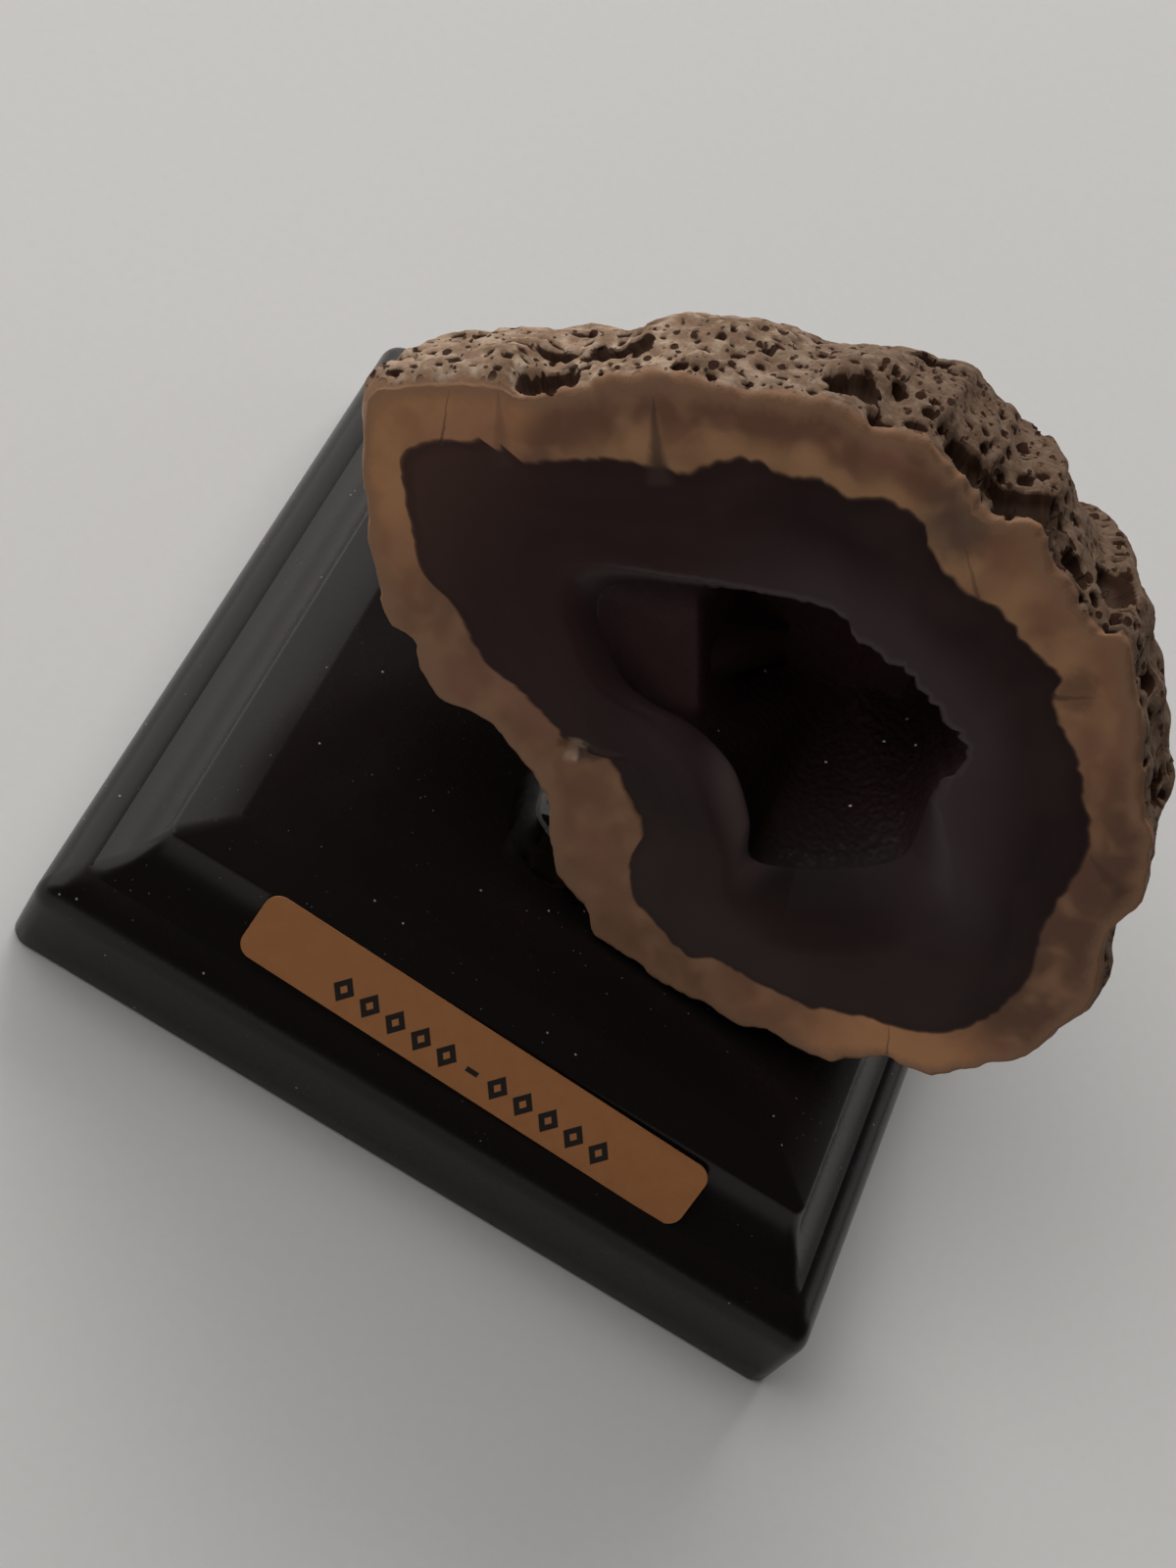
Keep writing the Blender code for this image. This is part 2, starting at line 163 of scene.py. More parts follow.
# Large pits: bearing round the face and lift over the skin in degrees, then width, height and depth in
# millimetres
LARGE_PITS = (
    (149, 10, 5.6, 2.8, 2.6), (158, 12, 3.6, 2.1, 1.9), (157, 4, 4.8, 2.6, 2.2), (111, 8, 4.4, 3.4, 3.0),
    (104, 3, 2.2, 1.5, 1.2), (99, 4, 1.8, 1.6, 1.2), (88, 6, 4.8, 4.2, 3.0), (76, 7, 7.4, 5.6, 3.6),
    (61, 6, 3.4, 3.4, 2.6), (53, 13, 3.2, 6.0, 2.8), (24, 7, 3.0, 3.0, 1.8), (40, 8, 1.8, 2.6, 1.5),
    (12, 20, 2.6, 3.2, 1.7), (104, 38, 4.0, 3.0, 2.0), (70, 45, 3.4, 3.8, 2.0), (140, 44, 3.6, 3.0, 2.0),
    (24, 42, 4.2, 3.4, 2.2), (45, 64, 3.6, 3.2, 2.0), (128, 66, 4.4, 3.2, 2.2), (-25, 50, 3.4, 3.0, 1.8),
    (188, 55, 3.4, 3.2, 1.8), (205, 28, 3.0, 2.4, 1.6),
)

# Tries at a small pit; those that would overlap are left out
SMALL_PIT_TRIES = 7000

# Cracks and folds across the rind: outer end, inner end, half width there in millimetres, and darkness
CRACKS = (
    ((-41.7, 33.2), (-39.9, 29.2), 0.08, 0.75),
    ((-38.4, 35.6), (-34.9, 30.6), 0.65, 0.45),
    ((-28.0, 42.6), (-23.8, 37.2), 0.75, 1.1),
    ((-12.6, 15.9), (-15.8, 13.4), 0.6, 1.0),
    ((-1.2, 47.6), (2.2, 44.8), 0.16, 0.6),
    ((14.8, 43.6), (12.0, 41.6), 0.2, 0.7),
    ((22.6, 32.4), (26.8, 31.2), 0.55, 0.5),
    ((19.0, 9.6), (21.6, 5.2), 0.12, 0.7),
)

# Dark folds in the upper rind
FOLDS = ((-2.8, 48.2), (13.4, 43.2))

# Pale chip at the agate's edge, at the lower left
CHIP = (-16.4, 13.6)
CHIP_RADIUS = 1.2
CHIP_DEPTH = 0.8

# Hidden wall of the stone and crust of crystals on it
WALL_GAP = 1.4
WALL_SPREAD = 0.9
CRUST_THICKNESS = 0.45
LARGE_TIP, SMALL_TIP = 0.8, 0.42

# Drop of clear glue, and the spot of the skin over it that is darkened, partly as wetted by the glue and
# partly as painted shade under the stone
GLUE_CENTRE = (-1.2, -9.0)
GLUE_RADIUS = 6.4
GLUE_HEIGHT = 8.0
GLUE_SEGMENTS = 64
GLUE_ROWS = 24
GLUED_SPOT = (-11.7, 6.8, 6.5)

# Camera, as the photograph was taken, in millimetres
CAMERA_PLACE = (-31.2, -169.3, 216.2)
CAMERA_AIM = (-1.9, -3.7, 16.3)
CAMERA_ROLL = math.radians(39.6)
CAMERA_LENS = 67.5

# Fineness of the stone and of its crust
AROUND = 600
SKIN_ROWS = 124
CRUST_AROUND = 500
CRUST_ROWS = 150
OUTLINE_STEPS = 8

# Side of the floor, in metres
FLOOR_SIZE = 3.0

# Directions of the cut face: along it, up it and out of it
FACE_U = np.array((math.cos(FACE_TURN), math.sin(FACE_TURN), 0))
FACE_V = np.array((
    -math.sin(FACE_TURN) * math.sin(FACE_LEAN), math.cos(FACE_TURN) * math.sin(FACE_LEAN),
    math.cos(FACE_LEAN),
))
FACE_NORMAL = np.cross(FACE_U, FACE_V)


class Field:
    """A value or colour that varies over a surface; arithmetic on it adds Math nodes."""

    def __init__(self, finish, socket):
        self.finish = finish
        self.socket = socket

    def math(self, operation, *values):
        return self.finish.node("ShaderNodeMath", {"operation": operation}, dict(enumerate(values)))

    def __add__(self, other):
        return self.math("ADD", self, other)

    def __sub__(self, other):
        return self.math("SUBTRACT", self, other)

    def __rsub__(self, other):
        return self.math("SUBTRACT", other, self)

    def __mul__(self, other):
        return self.math("MULTIPLY", self, other)

    def __truediv__(self, other):
        return self.math("DIVIDE", self, other)

    def __abs__(self):
        return self.math("ABSOLUTE", self)

    __radd__ = __add__
    __rmul__ = __mul__

    def larger(self, other):
        return self.math("MAXIMUM", self, other)

    def smaller(self, other):
        return self.math("MINIMUM", self, other)

    def sine(self):
        return self.math("SINE", self)

    def rounded(self):
        return self.math("ROUND", self)

    def rise(self, low, high):
        """Nought below low, one above high and a smooth step between."""
        settings = {"interpolation_type": "SMOOTHSTEP"}
        inputs = {"Value": self, "From Min": low, "From Max": high}
        return self.finish.node("ShaderNodeMapRange", settings, inputs)


class Finish:
    """One material, built from nodes."""

    def __init__(self, name, **constants):
        self.material = bpy.data.materials.new(name)
        self.material.use_nodes = True
        self.tree = self.material.node_tree
        self.surface = self.tree.nodes["Principled BSDF"]
        for socket, value in constants.items():
            self.surface.inputs[socket.replace("_", " ")].default_value = value

    def node(self, kind, settings=None, inputs=None, output=0):
        """Adds a node, sets it up, feeds its sockets by name or number and gives one of its outputs."""
        node = self.tree.nodes.new(kind)
        for name, value in (settings or {}).items():
            setattr(node, name, value)
        for name, value in (inputs or {}).items():
            self.feed(node.inputs[name], value)
        return Field(self, node.outputs[output])

    def feed(self, socket, value):
        if isinstance(value, Field):
            self.tree.links.new(value.socket, socket)
        elif socket.type == "RGBA" and len(value) == 3:
            socket.default_value = (*value, 1)
        else:
            socket.default_value = value

    def attribute(self, name, output="Fac"):
        return self.node("ShaderNodeAttribute", {"attribute_name": name}, output=output)

    def millimetres(self):
        """Place on the piece, in millimetres."""
        return self.scaled(self.node("ShaderNodeTexCoord", output="Object"), 1 / MM)

    def noise(self, place, size, detail=2.0, roughness=0.5, output="Fac", distortion=0.0):
        return self.node("ShaderNodeTexNoise", None, {
            "Vector": place, "Scale": 1 / size, "Detail": detail, "Roughness": roughness,
            "Distortion": distortion,
        }, output)

    def cells(self, place, size, output="Distance"):
        return self.node("ShaderNodeTexVoronoi", None, {"Vector": place, "Scale": 1 / size}, output)

    def mix(self, share, first, second):
        return self.node("ShaderNodeMix", {"data_type": "RGBA"}, {0: share, 6: first, 7: second}, 2)

    def vector(self, operation, first, second, output=0):
        return self.node("ShaderNodeVectorMath", {"operation": operation}, {0: first, 1: second}, output)

    def distance(self, place, spot):
        return self.vector("DISTANCE", place, spot, "Value")

    def scaled(self, vector, factor):
        return self.node("ShaderNodeVectorMath", {"operation": "SCALE"}, {0: vector, "Scale": factor})

    def part(self, vector, axis):
        return self.node("ShaderNodeSeparateXYZ", None, {0: vector}, axis)

    def bump(self, height, distance, strength):
        inputs = {"Height": height, "Distance": distance, "Strength": strength}
        return self.node("ShaderNodeBump", None, inputs, "Normal")

    def dress(self, **sockets):
        """Feeds what varies and gives the finished material."""
        for name, value in sockets.items():
            self.feed(self.surface.inputs[name.replace("_", " ")], value)
        return self.material


def black_lacquer():
    """Glossy black with smears, specks of dust and short fibres."""
    finish = Finish("black_lacquer", IOR=1.5, Specular_IOR_Level=0.36)
    place = finish.millimetres()
    smear = finish.noise(place, 9.0, 4.0, 0.6)
    haze = finish.noise(place, 1.4, 3.0, 0.6)
    picked = finish.part(finish.cells(place, 1.5, "Color"), 0)
    speck = (1 - finish.cells(place, 1.5).rise(0.05, 0.085)) * picked.rise(0.82, 0.84)
    fine = (1 - finish.cells(place, 0.95).rise(0.05, 0.10)) * smear.rise(0.46, 0.62) * 0.35
    stretched = finish.vector("MULTIPLY", place, (2.4, 0.16, 1.0))
    chosen = finish.part(finish.cells(stretched, 1.3, "Color"), 1)
    fibre = (1 - finish.cells(stretched, 1.3).rise(0.03, 0.06)) * chosen.rise(0.9, 0.92) * 0.6
    dust = speck.larger(fine).larger(fibre)
    colour = finish.mix(dust, (0.0080, 0.0054, 0.0053), (0.30, 0.28, 0.27))
    rough = 0.19 + smear * 0.12 + haze * 0.05 + dust * 0.4
    return finish.dress(Base_Color=colour, Roughness=rough, Normal=finish.bump(smear, 0.00006, 0.35))


def bronze_label():
    """Bronze with a soft grain and a row of dark marks."""
    finish = Finish("bronze_label", IOR=1.45)
    place = finish.attribute("label_place", "Vector")
    along, across = finish.part(place, 0), finish.part(place, 1)
    mottle = finish.noise(place, 1.6, 4.0, 0.65)
    grain = finish.noise(finish.vector("MULTIPLY", place, (0.6, 5.0, 1.0)), 0.4, 2.0, 0.5)
    step = along / MARK_PITCH
    nearest = step.rounded()
    aside, above, index = abs((step - nearest) * MARK_PITCH), abs(across), abs(nearest)
    lozenge = aside / MARK_HALF_WIDTH + above / MARK_HALF_HEIGHT
    inner = aside / (MARK_HALF_WIDTH * MARK_HOLLOW) + above / (MARK_HALF_HEIGHT * MARK_HOLLOW)
    marks = (1 - lozenge.rise(0.96, 1.04)) * inner.rise(0.9, 1.1)
    row = index.rise(0.5, 0.6) * (1 - index.rise(MARKS_EACH_SIDE + 0.4, MARKS_EACH_SIDE + 0.5))
    dash = (1 - aside.rise(0.55, 0.62)) * (1 - above.rise(0.22, 0.27)) * (1 - index.rise(0.4, 0.5))
    ink = (marks * row).larger(dash)
    bronze = finish.mix(mottle, (0.50, 0.205, 0.078), (0.62, 0.275, 0.108))
    worn = finish.mix(grain * 0.3, bronze, (0.40, 0.165, 0.064))
    colour = finish.mix(ink, worn, (0.016, 0.012, 0.010))
    rough = 0.34 + mottle * 0.14 + ink * 0.1
    return finish.dress(
        Base_Color=colour, Roughness=rough, Metallic=(1 - ink) * 0.35,
        Normal=finish.bump(grain + ink * 0.5, 0.00001, 0.5),
    )


def crack_mask(finish, place, wobble):
    """Thin dark lines across the rind, widening towards the agate."""
    mask = None
    for outer, inner, half_width, darkness in CRACKS:
        start = np.array((*outer, 0.0))
        way = np.array((*inner, 0.0)) - start
        length = float(np.hypot(*way[:2]))
        way = way / length
        offset = finish.vector("SUBTRACT", place, tuple(start))
        along = finish.vector("DOT_PRODUCT", offset, tuple(way), "Value") / length
        side = finish.vector("DOT_PRODUCT", offset, (-way[1], way[0], 0.0), "Value")
        share = along.larger(0.0).smaller(1.0)
        width = share * half_width + 0.03
        line = 1 - (abs(side + wobble) / width).rise(0.3, 1.9)
        ends = along.rise(-0.06, 0.04) * (1 - along.rise(1.0, 1.1))
        line = line * ends * (share * 0.5 + 0.5) * darkness
        mask = line if mask is None else mask.larger(line)
    return mask


def polished_face():
    """Cut and polished stone: tan rind, dark agate, and the softened mouth of the hollow.

    The band is -1 at the hollow's rim, 0 where the face turns flat, 1 at the agate's edge and 2 at the
    stone's.
    """
    finish = Finish("polished_agate_face", IOR=1.54, Specular_IOR_Level=0.3)
    place = finish.attribute("place", "Vector")
    band = finish.attribute("band")
    u, v = finish.part(place, 0), finish.part(place, 1)
    broad = finish.noise(place, 9.0, 2.0, 0.5)
    patch = finish.noise(place, 3.2, 1.5, 0.5, distortion=0.3)
    fine = finish.noise(place, 0.5, 4.0, 0.6)
    wobble = (finish.noise(place, 1.3, 3.0, 0.6) - 0.5) * 0.9

    # Rind: golden at the left and below, browner over the top, dull at the right, clouded throughout
    depth = band - 1
    gold, tan, brown = (0.46, 0.225, 0.100), (0.30, 0.145, 0.078), (0.175, 0.082, 0.048)
    across = finish.mix(u.rise(-37, -33), gold, finish.mix(u.rise(-4, 4), brown, tan))
    right = finish.mix(u.rise(15, 25) * v.rise(8, 16), across, (0.140, 0.070, 0.043))
    below = finish.mix((1 - v.rise(14, 24)) * (1 - u.rise(2, 12)), right, (0.235, 0.120, 0.066))
    inner = 1 - (depth + (patch - 0.5) * 0.6).rise(0.15, 0.6)
    inner = inner * u.rise(-33, -28) * (1 - u.rise(8, 20))
    lit = finish.mix(inner * v.rise(24, 34) * 0.9, below, (0.38, 0.205, 0.10))
    clouded = finish.mix(patch.rise(0.38, 0.8) * 0.42, lit, (0.165, 0.074, 0.043))
    pale = finish.mix((1 - patch.rise(0.2, 0.56)) * 0.5, clouded, (0.44, 0.235, 0.125))
    corner = finish.mix((1 - v.rise(8, 16)) * u.rise(11, 19) * 0.8, pale, (0.60, 0.285, 0.130))
    pinkish = finish.mix(broad.rise(0.5, 0.66) * 0.4, corner, (0.31, 0.145, 0.095))
    grainy = finish.mix(fine.rise(0.5, 0.8) * 0.10, pinkish, (0.12, 0.06, 0.04))
    edge = finish.mix((depth + (fine - 0.5) * 0.2).rise(0.7, 1.0) * 0.8, grainy, (0.28, 0.155, 0.09))

    fold, step = (finish.distance(place, (*middle, 0.0)) + wobble * 3 for middle in FOLDS)
    shaded = finish.mix((1 - fold.rise(1.2, 4.2)) * 0.6, edge, (0.10, 0.066, 0.048))
    folded = finish.mix((1 - step.rise(0.6, 2.6)) * 0.5, shaded, (0.09, 0.046, 0.033))

    # Agate: almost black brown, redder at the left, with a grey violet haze and faint bands
    warped = band + (broad - 0.5) * 0.30 + (patch - 0.5) * 0.06
    lines = ((warped * 46).sine() * 0.5 + 0.5) * 0.4 + ((warped * 17 + 1.1).sine() * 0.5 + 0.5) * 0.6
    haze = (1 - warped.rise(0.1, 0.7)) * u.rise(-20, -6) * v.rise(14, 26)
    base = finish.mix(broad.rise(0.35, 0.65), (0.0200, 0.0092, 0.0090), (0.0330, 0.0175, 0.0160))
    red = finish.mix((1 - u.rise(-30, -8)) * 0.8, base, (0.0310, 0.0110, 0.0095))
    tip = finish.mix((1 - u.rise(-42, -28)) * 0.9, red, (0.070, 0.034, 0.025))
    veiled = finish.mix(haze * 0.9, tip, (0.056, 0.037, 0.040))
    banded = finish.mix(lines * 0.18, veiled, (0.044, 0.027, 0.027))
    foot = finish.mix((1 - v.rise(6, 17)) * 0.55, banded, (0.044, 0.026, 0.022))
    mouth = 1 - band.rise(-1.0, 0.0)
    tongue = mouth * (1 - v.rise(20.5, 22.5)) * (1 - u.rise(-1, 4)) * u.rise(-9, -4)
    # Painted shade: the mouth sloping into the hollow is painted darker than the face, a little less dark
    # on its lower part.
    low = (1 - v.rise(16, 22)) * u.rise(-3, 5)
    slope = finish.mix(low, (0.0230, 0.0105, 0.0105), (0.0120, 0.0055, 0.0055))
    dished = finish.mix(mouth * (1 - tongue), foot, slope)
    # Painted highlight: a light band along the rounded right edge of the agate tongue.
    tongue_highlight = finish.mix(tongue * 0.8, dished, (0.105, 0.072, 0.070))
    # Painted highlight: a thin light line along the hollow's upper rim.
    lip = (1 - abs(band).rise(0.01, 0.05)) * v.rise(27, 31) * 0.5
    rim = finish.mix(lip, tongue_highlight, (0.085, 0.064, 0.066))
    agate = finish.mix(band.rise(0.9, 0.985) * 0.4, rim, (0.0220, 0.0095, 0.0080))

    cross = finish.mix((band + wobble * 0.012).rise(0.975, 1.06), agate, folded)
    chip = finish.distance(place, (*CHIP, 0.0)) + wobble * 2
    chipped = finish.mix((1 - chip.rise(0.5, 1.3)) * 0.9, cross, (0.42, 0.28, 0.19))
    cracks = crack_mask(finish, place, wobble * 0.5)
    colour = finish.mix(cracks * 0.85, chipped, (0.045, 0.024, 0.018))

    rough = 0.24 + patch * 0.08 + band.rise(0.95, 1.05) * 0.12 + fine * 0.05 + cracks * 0.3 + mouth * 0.3
    height = fine * 0.3 + band.rise(0.99, 1.01) * 0.4 - cracks * 2
    return finish.dress(Base_Color=colour, Roughness=rough, Normal=finish.bump(height, 0.00002, 0.6))


def pitted_skin():
    """Rough brown skin, paler where worn and darker in its pits, tan along the cut."""
    finish = Finish("pitted_skin", IOR=1.5, Specular_IOR_Level=0.1)
    place = finish.attribute("place", "Vector")
    pit = finish.attribute("pit")
    u, back = finish.part(place, 0), finish.part(place, 2)
    broad = finish.noise(place, 7.0, 3.0, 0.6)
    mid = finish.noise(place, 1.7, 4.0, 0.6)
    fine = finish.noise(place, 0.3, 3.0, 0.65)
    wander = finish.scaled(finish.noise(place, 1.1, 2.0, output="Color"), 0.45)
    bent = finish.vector("MULTIPLY", finish.vector("ADD", place, wander), (1.0, 1.0, 0.55))
    pores, size = finish.cells(bent, 1.15), finish.part(finish.cells(bent, 1.15, "Color"), 0)
    pore = 1 - (pores / (size * 0.38 + 0.01)).rise(0.85, 1.1)
    tiny, spread = finish.cells(bent, 0.7), finish.part(finish.cells(bent, 0.7, "Color"), 1)
    speck = 1 - (tiny / (spread * 0.26 + 0.04)).rise(0.75, 1.15)
    away = (back + (mid - 0.5) * 1.6).rise(0.1, 1.1)
    holes = pore.larger(speck * 0.85) * away
    holes = holes.larger(pit.rise(0.10, 0.32))
    ground = finish.mix(broad.rise(0.35, 0.68), (0.19, 0.115, 0.072), (0.33, 0.225, 0.155))
    worn = finish.mix(mid.rise(0.46, 0.66) * 0.7, ground, (0.52, 0.40, 0.30))
    stained = finish.mix((1 - mid.rise(0.32, 0.48)) * 0.6, worn, (0.15, 0.088, 0.055))
    shaded = finish.mix(u.rise(-34, -6) * 0.8, stained, (0.105, 0.062, 0.040))
    grainy = finish.mix(fine.rise(0.45, 0.72) * 0.16, shaded, (0.48, 0.37, 0.28))
    tan = finish.mix(broad, (0.22, 0.115, 0.066), (0.34, 0.19, 0.11))
    fresh = finish.mix(away, tan, grainy)
    # Painted shade in part: the skin over the glue is darkened, both as wet and as shaded under the stone.
    wet_shaded_mask = 1 - finish.distance(place, GLUED_SPOT).rise(4, 7)
    wet_and_shaded = finish.mix(wet_shaded_mask * 0.9, fresh, (0.020, 0.013, 0.010))
    pit_floor = finish.mix((pit + mid * 0.8).rise(1.2, 2.2), (0.036, 0.0155, 0.0095), (0.085, 0.052, 0.036))
    colour = finish.mix(holes * 0.97, wet_and_shaded, pit_floor)
    height = mid * 0.5 + fine * 0.25 - (pore * 0.9 + speck * 0.45) * away
    return finish.dress(
        Base_Color=colour, Roughness=0.55 + away * 0.25 + holes * 0.05,
        Normal=finish.bump(height, 0.0003, 0.8),
    )


def dark_druse():
    """Fine dark crystals: redder on the shelf, nearly black in the depth, with a few painted glints."""
    finish = Finish("dark_druse", IOR=1.54, Specular_IOR_Level=0.15)
    place = finish.attribute("place", "Vector")
    deep, inset = finish.attribute("deep"), finish.attribute("inset")
    broad = finish.noise(place, 5.0, 2.0, 0.5)
    cloud = finish.noise(place, 1.3, 3.0, 0.6)
    facet = finish.part(finish.cells(place, 0.42, "Color"), 0)
    picked = finish.part(finish.cells(place, 2.1, "Color"), 1)
    painted_glint = (1 - finish.cells(place, 2.1).rise(0.05, 0.085)) * picked.rise(0.86, 0.88)
    u, v = finish.part(place, 0), finish.part(place, 1)
    lower = finish.mix(broad, (0.0150, 0.0058, 0.0058), (0.0200, 0.0090, 0.0088))
    # Painted light: the upper left of the deep, which lies in shadow, is painted lighter.
    black = finish.mix(v.rise(19, 29) * (1 - u.rise(1, 9)), lower, (0.060, 0.024, 0.024))
    shelf = finish.mix(cloud, (0.038, 0.0155, 0.0150), (0.054, 0.025, 0.024))
    ground = finish.mix(deep, shelf, black)
    # Painted shade: the crust is darkened near its rim, most of all along the lower rim.
    rim = (1 - inset.rise(0.0, 6.0)) * (1 - deep * v.rise(20, 25) * 0.5)
    rim_shade = finish.mix(v.rise(20, 25), (0.0075, 0.0032, 0.0032), (0.030, 0.0155, 0.0155))
    veiled = finish.mix(rim, ground, rim_shade)
    faceted = finish.mix(facet * 0.2, veiled, (0.026, 0.013, 0.013))
    # Painted glints: a few bright specks on the crystals.
    colour = finish.mix(painted_glint, faceted, (0.80, 0.78, 0.77))
    return finish.dress(
        Base_Color=colour, Roughness=0.5 + facet * 0.2, Coat_Weight=facet.rise(0.6, 0.9) * 0.1,
        Normal=finish.bump(facet, 0.00005, 0.4),
    )


def clear_glue():
    finish = Finish("clear_glue", IOR=1.49, Transmission_Weight=1.0)
    ripple = finish.noise(finish.millimetres(), 3.0, 2.0, 0.5)
    # Painted shade: the clear glue is tinted grey so it stays dark under the stone.
    colour = finish.mix(ripple, (0.36, 0.33, 0.31), (0.46, 0.43, 0.41))
    return finish.dress(
        Base_Color=colour, Roughness=0.02 + ripple * 0.05, Normal=finish.bump(ripple, 0.0001, 0.4),
    )


def pale_floor():
    finish = Finish("pale_floor", Specular_IOR_Level=0.25)
    place = finish.node("ShaderNodeTexCoord", output="Object")
    tooth = finish.noise(place, 0.0012, 3.0, 0.6)
    colour = finish.mix(tooth, (0.73, 0.725, 0.717), (0.77, 0.765, 0.757))
    return finish.dress(Base_Color=colour, Roughness=0.85, Normal=finish.bump(tooth, 0.00003, 0.3))


def rounded_rectangle(half_x, half_y, radius, steps):
    """Corner arcs of a rectangle, counterclockwise, as pairs about its middle."""
    points = []
    for corner in range(4):
        middle = math.radians(45 + 90 * corner)
        centre_x = math.copysign(half_x - radius, math.cos(middle))
        centre_y = math.copysign(half_y - radius, math.sin(middle))
        for step in range(steps + 1):
            angle = math.radians(90 * corner + 90 * step / steps)
            points.append((centre_x + radius * math.cos(angle), centre_y + radius * math.sin(angle)))
    return points


def ring_faces(counts):
    """Quads and pole triangles between rings given by their point counts, with flat end caps."""
    faces = []
    start = 0
    for count, following in zip(counts, counts[1:]):
        after = start + count
        across = max(count, following)
        for i in range(across):
            j = (i + 1) % across
            if count == 1:
                faces.append((start, after + j, after + i))
            elif following == 1:
                faces.append((start + i, start + j, after))
            else:
                faces.append((start + i, start + j, after + j, after + i))
        start = after
    if counts[0] > 1:
        faces.append(tuple(range(counts[0] - 1, -1, -1)))
    if counts[-1] > 1:
        faces.append(tuple(range(start, start + counts[-1])))
    return faces


def add_piece(name, points, counts, materials, node, sharp_angle):
    """A mesh from rings of points in millimetres that stands for a node of the frame."""
    mesh = bpy.data.meshes.new(name)
    mesh.from_pydata((np.asarray(points) * MM).tolist(), [], ring_faces(counts))
    shape = bmesh.new()
    shape.from_mesh(mesh)
    bmesh.ops.recalc_face_normals(shape, faces=shape.faces)
    shape.to_mesh(mesh)
    shape.free()
    mesh.shade_smooth()
    mesh.set_sharp_from_angle(angle=math.radians(sharp_angle))
    for material in materials:
        mesh.materials.append(material)
    piece = bpy.data.objects.new(name, mesh)
    bpy.context.scene.collection.objects.link(piece)
    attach(piece, "root")
    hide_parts(node)
    return piece


def set_attribute(piece, name, values):
    """Stores a number or a triple for each point, for the materials."""
    values = np.ascontiguousarray(values, dtype=np.float32)
    kind, key = ("FLOAT_VECTOR", "vector") if values.ndim == 2 else ("FLOAT", "value")
    piece.data.attributes.new(name, kind, "POINT").data.foreach_set(key, values.ravel())


def arc(start, end, bulge, steps):
    """Points of a shallow arc between two profile points, bulging to the left of the way."""
    start, end = np.array(start, float), np.array(end, float)
    way = end - start
    side = np.array((-way[1], way[0])) / np.hypot(*way)
    shares = np.linspace(0, 1, steps + 1)
    return [tuple(start + way * t + side * bulge * 4 * t * (1 - t)) for t in shares]


def stand_profile():
    """Inset and height of the stand's edge: foot, side, rounded moulding, slope, ledge and panel."""
    profile = [(FOOT_CHAMFER, 0), (FOOT_CHAMFER * 0.25, FOOT_CHAMFER * 0.25), (0, FOOT_CHAMFER)]
    profile += [(0, SIDE_HEIGHT * share) for share in (0.35, 0.7, 0.95)]
    for step in range(13):
        angle = math.radians(90 * step / 12)
        inset = MOULDING_INSET * (1 - math.cos(angle))
        profile.append((inset, SIDE_HEIGHT + (MOULDING_HEIGHT - SIDE_HEIGHT) * math.sin(angle)))
    slope = arc((MOULDING_INSET, MOULDING_HEIGHT), (SLOPE_INSET, SLOPE_HEIGHT), -SLOPE_HOLLOW, 10)
    profile += slope[1:-1]
    ledge = ((-0.1, -0.38), (0.02, -0.2), (0.25, -0.12))
    profile += [(SLOPE_INSET + inset, SLOPE_HEIGHT + height) for inset, height in ledge]
    panel = ((-0.15, -0.02), (0, -0.005), (0.2, 0))
    profile += [(PANEL_INSET + inset, STAND_HEIGHT + height) for inset, height in panel]
    return profile


def make_stand():
    points, counts = [], []
    for inset, height in stand_profile():
        half = STAND_SIDE / 2 - inset
        share = min(inset / PANEL_INSET, 1)
        radius = CORNER_RADIUS + (PANEL_CORNER_RADIUS - CORNER_RADIUS) * share
        ring = rounded_rectangle(half, half, radius, 10)
        points += [(x, y, height) for x, y in ring]
        counts.append(len(ring))
    add_piece("stand_block", points, counts, [black_lacquer()], "stand", 24)


def make_label():
    """A thin rounded strip that follows the front slope."""
    run, rise = SLOPE_INSET - MOULDING_INSET, SLOPE_HEIGHT - MOULDING_HEIGHT
    slope = math.hypot(run, rise)
    up_slope = np.array((0, run, rise)) / slope
    outward = np.array((0, -rise, run)) / slope
    front = -STAND_SIDE / 2 + MOULDING_INSET
    middle = np.array((LABEL_SHIFT, front + run / 2, MOULDING_HEIGHT + rise / 2))
    turn = (math.cos(LABEL_TURN), math.sin(LABEL_TURN))
    outline = np.array(rounded_rectangle(LABEL_LENGTH / 2, LABEL_HEIGHT / 2, LABEL_CORNER, 8))
    levels = [(1.0, 0.0), (1.0, LABEL_THICKNESS * 0.6)]
    levels += [(scale, LABEL_THICKNESS) for scale in (0.997, 0.8, 0.5, 0.2)]
    points, flat = [], []
    for scale, height in levels:
        for x, y in outline * np.array((1 - (1 - scale) * 0.14, scale)):
            along = x * turn[0] - y * turn[1]
            up = x * turn[1] + y * turn[0]
            lift = (height + LABEL_GAP) * outward
            points.append(middle + along * np.array((1, 0, 0)) + up * up_slope + lift)
            flat.append((x - MARK_SHIFT, y - MARK_DROP, 0))
    counts = [len(outline)] * len(levels)
    piece = add_piece("label_strip", points, counts, [bronze_label()], "label", 40)
    set_attribute(piece, "label_place", flat)


def smooth_outline(points):
    """A closed Catmull-Rom curve through given points."""
    knots = np.array(points, float)
    before, after, beyond = (np.roll(knots, shift, axis=0) for shift in (1, -1, -2))
    spans = []
    for share in np.arange(OUTLINE_STEPS) / OUTLINE_STEPS:
        spans.append(0.5 * (
            2 * knots + (after - before) * share
            + (2 * before - 5 * knots + 4 * after - beyond) * share ** 2
            + (3 * knots - before - 3 * after + beyond) * share ** 3
        ))
    return np.stack(spans, axis=1).reshape(-1, 2)


